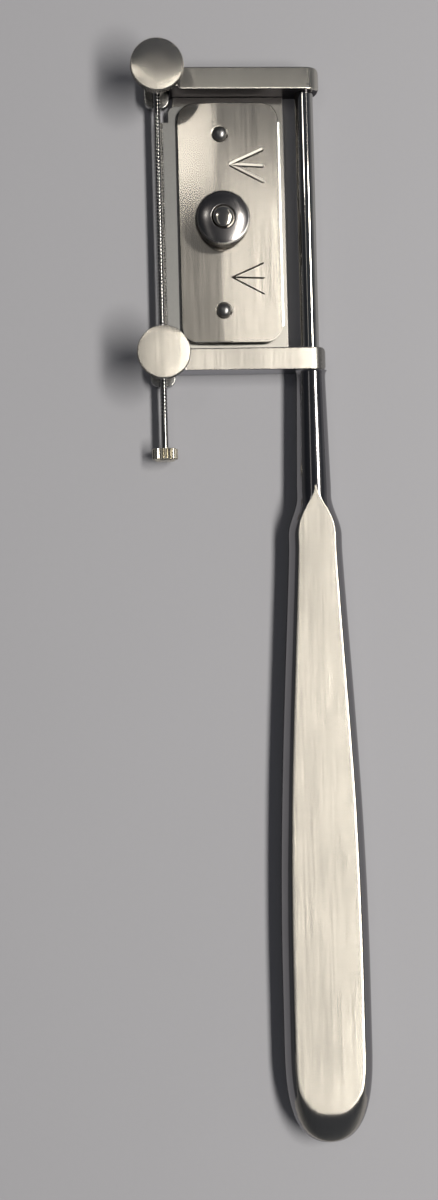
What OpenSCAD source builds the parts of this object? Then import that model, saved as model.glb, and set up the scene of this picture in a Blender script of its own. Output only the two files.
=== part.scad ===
// Miniature skin grafting knife that takes a standard double-edged razor blade.
// The blade lies on a bed between two arms, under an arched clamp plate and a thumb nut.
// A fine spiral roller runs just above the cutting edge, and two disc-headed screws set
// its height, which is the thickness of the graft.
// The part lies on its back: +Y runs from the handle to the head, +Z up to the screw heads.

/* [Overall] */
// Length from the butt of the handle to the far edge of the upper disc
overall_length = 196.5; // [190:0.5:202]
// Distance between the centre lines of the two arms
arm_spacing = 50.6; // [50:0.1:53]
// Distance from the frame rod to the roller
roller_reach = 26.7; // [26:0.1:28]
// How far each adjusting screw stands from the middle of its arm, away from the handle
screw_offset = 0.5; // [0:0.1:0.5]

/* [Handle] */
// Greatest width of the handle
handle_width = 16; // [14:0.5:18]
// Thickness of the handle between its two flats
handle_thickness = 6.3; // [6:0.1:7]
// Width of the handle just below the shoulders
shoulder_width = 9.8; // [9:0.1:11]
// Diameter of the neck where it meets the lower arm
neck_diameter = 5.2; // [5:0.1:5.6]
// Length of the neck, from the lower arm to the point of the flat
neck_length = 21; // [18:0.5:24]

/* [Frame] */
// Diameter of the rod that joins the two arms
rod_diameter = 3.4; // [3:0.1:4]
// Width of each arm, along the length of the knife
arm_width = 4; // [3.6:0.1:4.4]
// Thickness of each arm
arm_thickness = 5.5; // [5.2:0.1:5.8]
// Width of the bed plate
bed_width = 20.1; // [19:0.1:20.4]
// Thickness of the bed plate
bed_thickness = 1.15; // [1:0.05:1.3]

/* [Blade] */
// Overall length of the razor blade
blade_length = 43; // [42.5:0.1:43.5]
// Width of the razor blade across its two cutting edges
blade_width = 22; // [21.8:0.1:22.2]
// Length of each cutting edge
edge_length = 37.3; // [37:0.1:38]
// Thickness of the razor blade
blade_thickness = 0.1; // [0.1:0.01:0.15]
// Distance between the two locating pins
pin_spacing = 32.1; // [31:0.1:33]
// Diameter of a locating pin
pin_diameter = 2.5; // [2.2:0.1:2.7]

/* [Clamp] */
// Length of the clamp plate
plate_length = 43.6; // [42:0.1:45]
// Width of the clamp plate
plate_width = 18.3; // [17:0.1:19]
// Thickness of the sheet that the clamp plate is pressed from
plate_sheet = 0.8; // [0.7:0.05:1]
// Rise of the arch of the clamp plate
plate_rise = 0.75; // [0.5:0.05:1]
// Diameter of the thumb nut
nut_diameter = 9.9; // [9:0.1:11]
// Diameter of the clamp stud
stud_diameter = 3.7; // [3.4:0.1:4]

/* [Roller] */
// Diameter of the roller over the crests of its spiral
roller_diameter = 1.32; // [1.2:0.02:1.4]
// Gap between the roller and the blade as drawn, the thickness of the graft
graft_gap = 0.35; // [0.2:0.05:0.4]
// Distance from the lower arm to the near face of the end knob
knob_reach = 15.6; // [14:0.1:18]
// Diameter of the end knob
knob_diameter = 4.65; // [4.4:0.05:5]
// Diameter of the knurled disc heads
disc_diameter = 9.45; // [9:0.05:10]
// Thickness of the knurled disc heads
disc_thickness = 2; // [1.8:0.1:2.4]

/* [Hidden] */

$fn = 96;
slop = 0.01;

// Heights above the surface that the knife lies on
axis_z = handle_thickness / 2;
arm_bottom = axis_z - arm_thickness / 2;
arm_top = axis_z + arm_thickness / 2;
bed_top = arm_bottom + bed_thickness;
blade_top = bed_top + blade_thickness;
roller_z = blade_top + graft_gap + roller_diameter / 2;

// The arm end that carries the adjusting screw is thinner and stands higher than the arm
arm_end_thickness = 1.8;
arm_end_bottom = roller_z + 2.9;
arm_end_top = arm_end_bottom + arm_end_thickness;
arm_step_x = -roller_reach + 2.5;
eye_diameter = arm_width + 2 * screw_offset;
crank_start_x = -roller_reach + 4.9;
crank_end_x = -roller_reach + 4.3;

// Bearing block that hangs under the arm end: a round barrel on a long shoe that is open to the
// roller from above. A cap holds the screw in the barrel.
block_diameter = 4.2;
block_bottom = roller_z - 1.9;
block_top = roller_z + 1.52;
cap_top = block_top + 0.55;
pocket_depth = 0.5;
block_bevel = 0.3;
shoe_width = 4.5;
shoe_corner = 1.6;
shoe_toe = 4.4 + screw_offset;
shoe_heel = 3.7 - screw_offset;

// Adjusting screw: a button turns in the block, the shank turns in the arm end
screw_diameter = 2;
button_diameter = 1.84;
screw_neck_diameter = 1.16;
disc_bottom = arm_end_top + 2.25;
disc_bevel = 0.13;
disc_teeth = 72;
disc_tooth = 0.17;
running_gap = 0.03;
thread_gap = 0.03;

// Blade, stud and pins share one centre, halfway between the arms
seat_x = -roller_reach + 11.3;
seat_y = arm_spacing / 2;
plate_x = seat_x + 1.45;
bed_x = seat_x + 1.65;
corner_radius = 3;
pin_top = 4.25;
blade_hole_diameter = pin_diameter + 0.5;

// The holes of the clamp plate fit the pins closely and are countersunk
plate_hole_diameter = pin_diameter + 0.12;
countersink_diameter = pin_diameter + 1;
countersink_depth = 0.2;

// Arch of the clamp plate: the under side of its long edges rests on the blade
plate_seat_gap = 0.02;
arch_radius = (pow(plate_width / 2, 2) + pow(plate_rise, 2)) / (2 * plate_rise);
plate_crown = blade_top + plate_seat_gap + plate_rise + plate_sheet;

nut_base = plate_crown + 0.05;
nut_flange = 0.35;
nut_rim = 2.78;
nut_bevel = 0.1;
nut_dome = 0.62;
nut_eye = 2.3;
nut_teeth = 76;
nut_tooth = 0.2;
stud_top = nut_base + nut_flange + nut_rim + nut_bevel + nut_dome + 0.55;

knob_length = 2.2;
knob_teeth = 18;
knob_tooth = 0.38;
spigot_diameter = 0.9;
roller_start = -knob_reach - knob_length;
roller_end = arm_spacing + screw_offset + 1.3;
far_y = arm_spacing + screw_offset + disc_diameter / 2;
butt_y = far_y - overall_length;

// The origin sits under the middle of the whole knife, at the surface that it lies on
left_x = -roller_reach - disc_diameter / 2;
shift = [
    -(left_x + handle_width / 2) / 2,
    -(butt_y + far_y) / 2,
    0
];

// Handle and neck: an oval bar, ground flat above and below
apex_y = -arm_width / 2 - neck_length;
shoulder_y = apex_y - 11;
belly_y = butt_y + 29;
end_y = butt_y + 17;
crown_y = butt_y + 8;
neck_socket = 6;
oval_ratio = 1.58;
// The flat runs out to its full breadth over this length
flat_run_out = 8.5;
// The shoulders start this far below the point of the flat, and end after their own length
shoulder_delay = 1.6;
shoulder_length = 7.2;
// How evenly the body swells towards its belly: 1 is a quarter of a sine wave
swell_power = 1.12;
// Braze fillet round the root of the neck: its height, and how fast it dies away
fillet_height = 0.55;
fillet_decay = 3.2;

function clamp01(t) = max(0, min(1, t));
function ease(t) = let(u = clamp01(t)) u * u * (3 - 2 * u);
function mix(a, b, t) = a + (b - a) * t;
function cap_curve(t) = sqrt(max(0, 1 - t * t));

// Half width of the bar at a place along it
function neck_radius(y) =
    let(
        run = (-arm_width / 2 - y) / neck_length,
        fillet = fillet_height * exp((y + arm_width / 2) * fillet_decay)
    )
    mix(neck_diameter / 2, handle_thickness / 2, clamp01(run)) + fillet;
function shoulder_half(y) =
    mix(neck_radius(y), shoulder_width / 2, ease((apex_y - shoulder_delay - y) / shoulder_length));
function body_half(y) =
    let(run = clamp01((shoulder_y - y) / (shoulder_y - belly_y)))
    mix(shoulder_width / 2, handle_width / 2, pow(sin(90 * run), swell_power));
function half_width(y) =
    y > shoulder_y ? shoulder_half(y)
    : y > end_y ? body_half(y)
    : handle_width / 2 * cap_curve((end_y - y) / (end_y - butt_y));

// Half height of the flats, which round down towards the butt
function half_height(y) =
    y > crown_y ? handle_thickness / 2
    : handle_thickness / 2 * cap_curve((crown_y - y) / (crown_y - butt_y));

// Half height that the oval would have without its flats
function oval_height(y) =
    y > apex_y ? neck_radius(y)
    : half_height(y) * mix(1, oval_ratio, ease((apex_y - y) / flat_run_out));

// One cross-section, as points round the bar: two side arcs joined by the flats
side_steps = 11;
widest_arc = 88.5;
function side_arc(y, sign) =
    let(
        w = half_width(y),
        v = oval_height(y),
        lim = min(widest_arc, asin(min(1, half_height(y) / v)))
    )
    [for (i = [0 : side_steps]) let(a = mix(-lim, lim, i / side_steps))
        [sign * w * cos(a), y, axis_z + sign * v * sin(a)]];
function section(y) = concat(side_arc(y, 1), side_arc(y, -1));

// Places along the bar: close together where it bends, wide apart where it runs straight
neck_places = [for (i = [0 : 5]) -arm_width / 2 - 0.3 * i];
stem_places = [for (i = [1 : 4]) mix(-arm_width / 2 - 1.5, apex_y + 0.5, i / 4)];
shoulder_places = [for (i = [0 : 12]) mix(apex_y - 0.2, shoulder_y, i / 12)];
body_places = [for (i = [1 : 10]) mix(shoulder_y, end_y, i / 10)];
butt_places = [for (i = [1 : 14]) end_y - (end_y - butt_y) * sin(90 * i / 14.35)];
places = concat(neck_places, stem_places, shoulder_places, body_places, butt_places);

module place() {
    translate(shift) children();
}

// Round bar along Y, from y0 to y1
module bar_y(d, y0, y1) {
    translate([0, y1, 0]) rotate([90, 0, 0]) cylinder(d = d, h = y1 - y0);
}

// Disc with straight knurling: a row of small V teeth round its edge
module knurled_disc(d, h, teeth, depth) {
    linear_extrude(height = h)
        polygon([for (i = [0 : 2 * teeth - 1])
            let(r = d / 2 - (i % 2) * depth, a = 180 * i / teeth) [r * cos(a), r * sin(a)]]);
}

// Plate seen from above: a rectangle with round corners, centred
module round_plate(length, width, radius, height) {
    half = [width / 2 - radius, length / 2 - radius];
    union() {
        translate([-width / 2, -half[1], 0]) cube([width, 2 * half[1], height]);
        translate([-half[0], -length / 2, 0]) cube([2 * half[0], length, height]);
        for (sx = [-1, 1], sy = [-1, 1])
            translate([sx * half[0], sy * half[1], 0]) cylinder(r = radius, h = height);
    }
}

module handle() {
    ring = len(section(places[0]));
    count = len(places);
    points = [for (y = places) each section(y)];
    sides = [for (k = [0 : count - 2], i = [0 : ring - 1])
        let(j = (i + 1) % ring)
        [k * ring + i, (k + 1) * ring + i, (k + 1) * ring + j, k * ring + j]];
    ends = [
        [for (i = [0 : ring - 1]) i],
        [for (i = [ring - 1 : -1 : 0]) (count - 1) * ring + i]
    ];
    color("gainsboro")
        place()
            difference() {
                polyhedron(points = points, faces = concat(sides, ends), convexity = 4);
                translate([0, 0, axis_z])
                    bar_y(rod_diameter, -arm_width / 2 - neck_socket, -arm_width / 2 + slop);
            }
}

module frame_rod() {
    far_face = arm_spacing + arm_width / 2;
    tip = 0.35;
    color("silver")
        place()
            translate([0, 0, axis_z])
                union() {
                    bar_y(rod_diameter, -arm_width / 2 - neck_socket, far_face);
                    translate([0, far_face, 0]) rotate([-90, 0, 0])
                        cylinder(d1 = rod_diameter, d2 = rod_diameter - 2 * tip, h = tip);
                }
}

// Arm, seen along the knife: a bar with a half-round end at the rod and a raised eye at the screw
module arm(y) {
    side = [
        [0, arm_bottom], [0, arm_top], [crank_start_x, arm_top], [crank_end_x, arm_end_top],
        [-roller_reach, arm_end_top], [-roller_reach, arm_end_bottom],
        [arm_step_x, arm_end_bottom], [arm_step_x, arm_bottom]
    ];
    place()
        translate([0, y, 0])
            difference() {
                union() {
                    translate([0, arm_width / 2, 0]) rotate([90, 0, 0])
                        linear_extrude(height = arm_width) polygon(side);
                    translate([0, 0, axis_z]) bar_y(arm_thickness, -arm_width / 2, arm_width / 2);
                    translate([-roller_reach, screw_offset, arm_end_bottom])
                        cylinder(d = eye_diameter, h = arm_end_thickness);
                }
                translate([0, 0, axis_z]) bar_y(rod_diameter, -arm_width, arm_width);
                translate([-roller_reach, screw_offset, arm_end_bottom - 1])
                    cylinder(d = screw_diameter + 2 * thread_gap, h = arm_end_thickness + 2);
            }
}

module lower_arm() {
    color("gainsboro") arm(0);
}

module upper_arm() {
    color("silver") arm(arm_spacing);
}

module bed_plate() {
    span = arm_spacing - arm_width;
    color("silver")
        place()
            difference() {
                translate([bed_x - bed_width / 2, seat_y - span / 2, arm_bottom])
                    cube([bed_width, span, bed_thickness]);
                translate([seat_x, seat_y, arm_bottom - 1]) cylinder(d = stud_diameter, h = 4);
                for (s = [-1, 1])
                    translate([seat_x, seat_y + s * pin_spacing / 2, arm_bottom - 1])
                        cylinder(d = pin_diameter, h = 4);
            }
}

module clamp_stud() {
    radius = stud_diameter / 2;
    dome = 0.5;
    color("silver")
        place()
            translate([seat_x, seat_y, 0])
                rotate_extrude()
                    polygon(concat(
                        [[0, arm_bottom], [radius, arm_bottom], [radius, stud_top - dome]],
                        [for (a = [15 : 15 : 90]) [radius * cos(a), stud_top - dome + dome * sin(a)]]
                    ));
}

module locating_pins() {
    radius = pin_diameter / 2;
    dome = 0.9;
    color("dimgray")
        place()
            for (s = [-1, 1])
                translate([seat_x, seat_y + s * pin_spacing / 2, 0])
                    rotate_extrude()
                        polygon(concat(
                            [[0, arm_bottom], [radius, arm_bottom], [radius, pin_top - dome]],
                            [for (a = [15 : 15 : 90]) [radius * cos(a), pin_top - dome + dome * sin(a)]]
                        ));
}

// Razor blade: tabs beyond the cutting edges, a long slot, and round holes for the stud and the pins
module razor_blade() {
    tab_width = blade_width - 3.6;
    bevel = 0.9;
    edge_land = 0.02;
    color("lightgray")
        place()
            translate([seat_x, seat_y, bed_top])
                difference() {
                    union() {
                        round_plate(blade_length, tab_width, 1.2, blade_thickness);
                        translate([0, edge_length / 2, 0]) rotate([90, 0, 0])
                            linear_extrude(height = edge_length)
                                polygon([
                                    [-blade_width / 2 + bevel, 0], [blade_width / 2 - bevel, 0],
                                    [blade_width / 2, blade_thickness / 2 - edge_land],
                                    [blade_width / 2, blade_thickness / 2 + edge_land],
                                    [blade_width / 2 - bevel, blade_thickness],
                                    [-blade_width / 2 + bevel, blade_thickness],
                                    [-blade_width / 2, blade_thickness / 2 + edge_land],
                                    [-blade_width / 2, blade_thickness / 2 - edge_land]
                                ]);
                    }
                    translate([-0.75, -pin_spacing / 2, -1]) cube([1.5, pin_spacing, 2]);
                    translate([0, 0, -1]) cylinder(d = stud_diameter + 0.5, h = 2);
                    for (s = [-1, 1])
                        translate([0, s * pin_spacing / 2, -1]) cylinder(d = blade_hole_diameter, h = 2);
                }
}

// Clamp plate: sheet pressed to a shallow arch, trimmed to a rectangle with round corners
module clamp_plate() {
    centre_z = plate_crown - arch_radius - plate_sheet;
    color("gainsboro")
        place()
            difference() {
                intersection() {
                    translate([plate_x, seat_y, 0])
                        round_plate(plate_length, plate_width, corner_radius, 6);
                    translate([plate_x, 0, centre_z]) difference() {
                        bar_y(2 * (arch_radius + plate_sheet), 0, arm_spacing);
                        bar_y(2 * arch_radius, -1, arm_spacing + 1);
                    }
                }
                translate([seat_x, seat_y, 0]) cylinder(d = stud_diameter + 0.4, h = 6);
                for (s = [-1, 1])
                    translate([seat_x, seat_y + s * pin_spacing / 2, 0]) {
                        cylinder(d = plate_hole_diameter, h = 6);
                        translate([0, 0, plate_crown - countersink_depth])
                            cylinder(
                                d1 = plate_hole_diameter, d2 = countersink_diameter,
                                h = countersink_depth + slop
                            );
                    }
            }
}

// Thumb nut: seat, knurled rim, bevel and a low polished dome, countersunk round the stud
module clamp_nut() {
    rim_base = nut_base + nut_flange;
    dome_base = rim_base + nut_rim + nut_bevel;
    flat = nut_diameter / 2 - nut_tooth - 0.1;
    dome_foot = flat - nut_bevel;
    dome_scale = nut_dome / (pow(dome_foot, 2) - pow(nut_eye, 2));
    dome_radii = [for (i = [0 : 8]) mix(dome_foot, nut_eye, i / 8)];
    color("silver")
        place()
            translate([seat_x, seat_y, 0])
                difference() {
                    union() {
                        translate([0, 0, nut_base]) cylinder(d = nut_diameter - 2.4, h = nut_flange);
                        translate([0, 0, rim_base])
                            knurled_disc(nut_diameter, nut_rim, nut_teeth, nut_tooth);
                        translate([0, 0, rim_base + nut_rim])
                            cylinder(r1 = flat, r2 = flat - nut_bevel, h = nut_bevel);
                        translate([0, 0, dome_base])
                            rotate_extrude()
                                polygon(concat(
                                    [[0, 0]],
                                    [for (r = dome_radii) [r, dome_scale * (pow(dome_foot, 2) - r * r)]],
                                    [[0, nut_dome]]
                                ));
                    }
                    translate([0, 0, nut_base - 1]) cylinder(d = stud_diameter + 2 * thread_gap, h = 8);
                    translate([0, 0, dome_base + nut_dome - 0.35])
                        cylinder(d1 = stud_diameter + 2 * thread_gap, d2 = stud_diameter + 1, h = 0.5);
                }
}

// Bearing block: a round barrel on a shoe, with the roller bore along it and a pocket for the screw
// button. The shoe reaches up to the roller's axis only, so the roller lies in an open groove there.
module bearing_block(arm_y, bore_from, bore_to) {
    shoe_length = shoe_heel + shoe_toe;
    shoe_middle = (shoe_heel - shoe_toe) / 2;
    place()
        translate([-roller_reach, arm_y + screw_offset, 0])
            difference() {
                union() {
                    translate([0, 0, block_bottom])
                        cylinder(
                            d1 = block_diameter - 2 * block_bevel, d2 = block_diameter, h = block_bevel
                        );
                    translate([0, 0, block_bottom + block_bevel])
                        cylinder(d = block_diameter, h = block_top - block_bottom - block_bevel);
                    translate([0, shoe_middle, block_bottom])
                        round_plate(shoe_length, shoe_width, shoe_corner, roller_z - block_bottom);
                }
                translate([0, 0, roller_z]) bar_y(roller_diameter + 2 * running_gap, bore_from, bore_to);
                translate([0, 0, block_top - pocket_depth])
                    cylinder(d = button_diameter + 2 * running_gap, h = pocket_depth + 1);
            }
}

module lower_bearing_block() {
    color("silver") bearing_block(0, -shoe_toe - 1, shoe_heel + 1);
}

module upper_bearing_block() {
    blind_end = roller_end - arm_spacing - screw_offset + 0.1;
    color("silver") bearing_block(arm_spacing, -shoe_toe - 1, blind_end);
}

// Cap pressed on the block, which keeps the button of the screw in its pocket
module bearing_cap(arm_y) {
    cap_bevel = 0.15;
    place()
        translate([-roller_reach, arm_y + screw_offset, block_top])
            difference() {
                union() {
                    cylinder(d = block_diameter, h = cap_top - block_top - cap_bevel);
                    translate([0, 0, cap_top - block_top - cap_bevel])
                        cylinder(d1 = block_diameter, d2 = block_diameter - 2 * cap_bevel, h = cap_bevel);
                }
                translate([0, 0, -1]) cylinder(d = screw_neck_diameter + 2 * running_gap, h = 3);
            }
}

module lower_bearing_cap() {
    color("silver") bearing_cap(0);
}

module upper_bearing_cap() {
    color("silver") bearing_cap(arm_spacing);
}

// Adjusting screw, from the button up: button, neck, shank and knurled disc head
module adjusting_screw(arm_y) {
    face = disc_diameter / 2 - disc_tooth - 0.04;
    place()
        translate([-roller_reach, arm_y + screw_offset, 0])
            union() {
                translate([0, 0, block_top - pocket_depth + 0.05])
                    cylinder(d = button_diameter, h = pocket_depth - 0.1);
                translate([0, 0, block_top - 0.05])
                    cylinder(d = screw_neck_diameter, h = cap_top - block_top + 0.15);
                translate([0, 0, cap_top + 0.1])
                    cylinder(d = screw_diameter, h = disc_bottom - cap_top - 0.1);
                translate([0, 0, disc_bottom])
                    cylinder(r1 = face - disc_bevel, r2 = face, h = disc_bevel);
                translate([0, 0, disc_bottom + disc_bevel])
                    knurled_disc(disc_diameter, disc_thickness - 2 * disc_bevel, disc_teeth, disc_tooth);
                translate([0, 0, disc_bottom + disc_thickness - disc_bevel])
                    cylinder(r1 = face, r2 = face - disc_bevel, h = disc_bevel);
            }
}

module lower_adjusting_screw() {
    color("wheat") adjusting_screw(0);
}

module upper_adjusting_screw() {
    color("wheat") adjusting_screw(arm_spacing);
}

module roller_rod() {
    color("silver")
        place()
            translate([-roller_reach, 0, roller_z])
                union() {
                    bar_y(roller_diameter, -knob_reach, roller_end);
                    bar_y(spigot_diameter, roller_start, -knob_reach);
                }
}

// End knob: coarse teeth round a short barrel, with a plain collar on its outer end
module roller_knob() {
    collar = 0.25;
    color("burlywood")
        place()
            translate([-roller_reach, -knob_reach, roller_z])
                rotate([90, 0, 0])
                    difference() {
                        union() {
                            knurled_disc(knob_diameter, knob_length - collar, knob_teeth, knob_tooth);
                            translate([0, 0, knob_length - collar])
                                cylinder(d1 = knob_diameter - 0.9, d2 = knob_diameter - 1.3, h = collar);
                        }
                        translate([0, 0, -1]) cylinder(d = spigot_diameter, h = knob_length + 2);
                    }
}

handle();
frame_rod();
lower_arm();
upper_arm();
bed_plate();
clamp_stud();
locating_pins();
razor_blade();
clamp_plate();
clamp_nut();
lower_bearing_block();
upper_bearing_block();
lower_bearing_cap();
upper_bearing_cap();
lower_adjusting_screw();
upper_adjusting_screw();
roller_rod();
roller_knob();
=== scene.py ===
import math

import bmesh
import bpy
from mathutils import Matrix, Vector


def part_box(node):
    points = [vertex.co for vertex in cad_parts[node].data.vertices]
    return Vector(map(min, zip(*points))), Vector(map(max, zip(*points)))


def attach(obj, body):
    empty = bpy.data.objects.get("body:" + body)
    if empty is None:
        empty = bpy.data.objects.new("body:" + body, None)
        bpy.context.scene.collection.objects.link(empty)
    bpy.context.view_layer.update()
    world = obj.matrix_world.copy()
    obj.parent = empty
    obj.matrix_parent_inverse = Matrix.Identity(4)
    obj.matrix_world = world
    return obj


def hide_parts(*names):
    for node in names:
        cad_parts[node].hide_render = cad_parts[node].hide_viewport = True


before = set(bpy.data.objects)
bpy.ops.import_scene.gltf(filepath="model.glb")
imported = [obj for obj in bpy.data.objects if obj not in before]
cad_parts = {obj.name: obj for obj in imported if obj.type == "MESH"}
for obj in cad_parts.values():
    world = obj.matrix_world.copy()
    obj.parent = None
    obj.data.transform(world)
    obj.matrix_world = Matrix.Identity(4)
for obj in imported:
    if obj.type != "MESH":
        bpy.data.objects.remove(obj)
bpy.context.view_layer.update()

# All shapes are drawn in millimetres in a working frame: the rod's axis is x = 0, the middle of
# the lower arm is y = 0 and the table is z = 0. place() turns that into metres in the part's frame.
MM = 0.001
TURN = 2 * math.pi


def middle(node):
    """Centre of a CAD node's box, in metres in the part's frame."""
    low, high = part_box(node)
    return (low + high) / 2


ARM_WIDTH = 4.0
ORIGIN = Vector((middle("frame_rod").x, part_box("bed_plate")[0].y - ARM_WIDTH / 2 * MM, 0))


def extent(node):
    """Lowest and highest corner of a CAD node, in working millimetres."""
    low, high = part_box(node)
    return (low - ORIGIN) / MM, (high - ORIGIN) / MM


def size_of(node, axis):
    low, high = extent(node)
    return high[axis] - low[axis]


X, Y, Z = range(3)

# Places that the frame gives
ROD_LOW, ROD_HIGH = extent("frame_rod")
AXIS_Z = (ROD_LOW.z + ROD_HIGH.z) / 2
ROD_RADIUS = size_of("frame_rod", Z) / 2
ARM_LOW, ARM_HIGH = extent("lower_arm")
ARM_SPACING = size_of("bed_plate", Y) + ARM_WIDTH
BED_LOW, BED_HIGH = extent("bed_plate")
BLADE_LOW, BLADE_HIGH = extent("razor_blade")
SEAT_X = (BLADE_LOW.x + BLADE_HIGH.x) / 2
SEAT_Y = (BLADE_LOW.y + BLADE_HIGH.y) / 2
PLATE_LOW, PLATE_HIGH = extent("clamp_plate")
NUT_LOW, NUT_HIGH = extent("clamp_nut")
STUD_HIGH = extent("clamp_stud")[1]
STUD_RADIUS = size_of("clamp_stud", X) / 2
PIN_LOW, PIN_HIGH = extent("locating_pins")
PIN_RADIUS = (PIN_HIGH.x - PIN_LOW.x) / 2
PIN_REACH = (PIN_HIGH.y - PIN_LOW.y) / 2 - PIN_RADIUS
BLOCK_HIGH = extent("lower_bearing_block")[1]
CAP_HIGH = extent("lower_bearing_cap")[1]
BARREL_RADIUS = size_of("lower_bearing_cap", X) / 2
SCREW_LOW, SCREW_HIGH = extent("lower_adjusting_screw")
SCREW_OFFSET = (SCREW_LOW.y + SCREW_HIGH.y) / 2
ROLLER_LOW, ROLLER_HIGH = extent("roller_rod")
ROLLER_X = (ROLLER_LOW.x + ROLLER_HIGH.x) / 2
ROLLER_Z = (ROLLER_LOW.z + ROLLER_HIGH.z) / 2
ROLLER_RADIUS = (ROLLER_HIGH.x - ROLLER_LOW.x) / 2
KNOB_LOW, KNOB_HIGH = extent("roller_knob")
HANDLE_LOW, HANDLE_HIGH = extent("handle")

# Clearance round a piece that turns or slides, and how far a boring tool reaches past a piece
CLEARANCE = 0.03
MARGIN = 1


# Numbers

def clamp01(t):
    return max(0.0, min(1.0, t))


def ease(t):
    t = clamp01(t)
    return t * t * (3 - 2 * t)


def mix(a, b, t):
    return a + (b - a) * t


def steps(start, end, count):
    """Evenly spaced numbers from start to end, both included."""
    return [mix(start, end, i / count) for i in range(count + 1)]


def quarter(count):
    """Angles that divide a quarter turn into even parts, both ends included."""
    return [math.pi / 2 * i / count for i in range(count + 1)]


def soft_min(a, b, softness):
    """The smaller of two heights, with the corner between them rolled off."""
    share = max(softness - abs(a - b), 0) / softness
    return min(a, b) - share * share * softness / 4


# Meshes

def bridge(bm, low, high):
    """Faces between two rows of points. A row of one point is a pole."""
    count = max(len(low), len(high))
    for i in range(count):
        j = (i + 1) % count
        corners = [low[i % len(low)], low[j % len(low)], high[j % len(high)], high[i % len(high)]]
        bm.faces.new(list(dict.fromkeys(corners)))


def skin(bm, rings, ring_shaped=False):
    """Adds a closed shell that runs through rings of points. Its ends are capped or joined up."""
    rows = [[bm.verts.new(point) for point in ring] for ring in rings]
    for low, high in zip(rows, rows[1:]):
        bridge(bm, low, high)
    if ring_shaped:
        bridge(bm, rows[-1], rows[0])
        return
    for row in (rows[0], rows[-1]):
        if len(row) > 2:
            bm.faces.new(row)


def piece_from(bm, name):
    """Makes an object of a mesh drawn in working millimetres."""
    bmesh.ops.recalc_face_normals(bm, faces=bm.faces)
    mesh = bpy.data.meshes.new(name)
    bm.to_mesh(mesh)
    bm.free()
    thing = bpy.data.objects.new(name, mesh)
    bpy.context.scene.collection.objects.link(thing)
    return thing


def apply_modifiers(thing):
    """Bakes an object's modifiers into its mesh."""
    graph = bpy.context.evaluated_depsgraph_get()
    mesh = bpy.data.meshes.new_from_object(thing.evaluated_get(graph))
    thing.modifiers.clear()
    thing.data = mesh
    return thing


def cut(thing, *tools, operation="DIFFERENCE"):
    """Takes the tools' shapes out of an object, or adds them to it, and deletes the tools."""
    for tool in tools:
        change = thing.modifiers.new("cut", "BOOLEAN")
        change.operation = operation
        change.solver = "EXACT"
        change.object = tool
    apply_modifiers(thing)
    for tool in tools:
        bpy.data.objects.remove(tool)
    return thing


def round_edges(thing, width, segments=2, angle=30):
    """Rounds every edge that is sharper than the angle."""
    change = thing.modifiers.new("edges", "BEVEL")
    change.width = width
    change.segments = segments
    change.limit_method = "ANGLE"
    change.angle_limit = math.radians(angle)
    change.use_clamp_overlap = True
    return apply_modifiers(thing)


def circle_points(radius, count, at=(0, 0)):
    angles = [TURN * i / count for i in range(count)]
    return [(at[0] + radius * math.cos(angle), at[1] + radius * math.sin(angle)) for angle in angles]


def rounded_outline(low, high, radius, count=12):
    """Rectangle from one corner to the other, with round corners."""
    east, north, west, south = high[0] - radius, high[1] - radius, low[0] + radius, low[1] + radius
    points = []
    for start, (x, y) in enumerate(((east, north), (west, north), (west, south), (east, south))):
        for i in range(count + 1):
            angle = math.pi / 2 * (start + i / count)
            points.append((x + radius * math.cos(angle), y + radius * math.sin(angle)))
    return points


def prism(name, outline, low, high):
    """Upright prism over an outline in x and y."""
    bm = bmesh.new()
    skin(bm, [[(x, y, z) for x, y in outline] for z in (low, high)])
    return piece_from(bm, name)


def peg(radius, at, low, high, along=Z, top_radius=None, count=64):
    """Round tool for boring a hole along one axis. at is its centre in the other two axes."""
    bm = bmesh.new()
    rings = []
    for height, r in ((low, radius), (high, top_radius or radius)):
        circle = circle_points(r, count, at)
        rings.append([(a, height, b) if along == Y else (a, b, height) for a, b in circle])
    skin(bm, rings)
    return piece_from(bm, "tool")


def turn_rings(outline, segments, relief=None):
    """Rings of a turned shape round Z. A relief cuts radius by height, angle and the row's grip."""
    rings = []
    for radius, height, *grip in outline:
        if radius == 0:
            rings.append([(0, 0, height)])
            continue
        ring = []
        for i in range(segments):
            angle = TURN * i / segments
            r = radius - relief(height, i / segments) * grip[0] if relief and grip else radius
            ring.append((r * math.cos(angle), r * math.sin(angle), height))
        rings.append(ring)
    return rings


def turned(name, shells, at, along=Z):
    """Turned piece of one or more shells, each (outline, segments, relief, ring_shaped)."""
    bm = bmesh.new()
    for outline, segments, relief, ring_shaped in shells:
        skin(bm, turn_rings(outline, segments, relief), ring_shaped)
    if along == Y:
        lay_down = Matrix.Rotation(-math.pi / 2, 3, "X")
        bmesh.ops.rotate(bm, verts=bm.verts, cent=(0, 0, 0), matrix=lay_down)
    bmesh.ops.translate(bm, verts=bm.verts, vec=at)
    return piece_from(bm, name)


def dome(radius, foot, height, count, *grip):
    """Points of a dome's outline, between its foot and its top."""
    return [(radius * math.cos(angle), foot + height * math.sin(angle), *grip)
            for angle in quarter(count)[1:-1]]


# Width of a tooth's crest, and the depth from which a face counts as the gap between two teeth
TOOTH_CREST = 0.16
GAP_DEPTH = 0.45


def tooth(turns):
    """Depth of a straight V tooth, from 0 at its narrow crest to 1 at its root."""
    wave = abs(2 * (turns % 1) - 1)
    return clamp01((wave - TOOTH_CREST) / (1 - TOOTH_CREST))


def knurl(teeth, depth):
    return lambda height, turns: depth * tooth(turns * teeth)


def thread(pitch, depth):
    return lambda height, turns: depth * tooth(height / pitch - turns)


def in_gap(centre, at, teeth):
    """Whether a face of a knurled rim lies in the gap between two teeth."""
    turns = math.atan2(centre.y - at[1], centre.x - at[0]) / TURN * teeth
    return tooth(turns) > GAP_DEPTH


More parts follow.
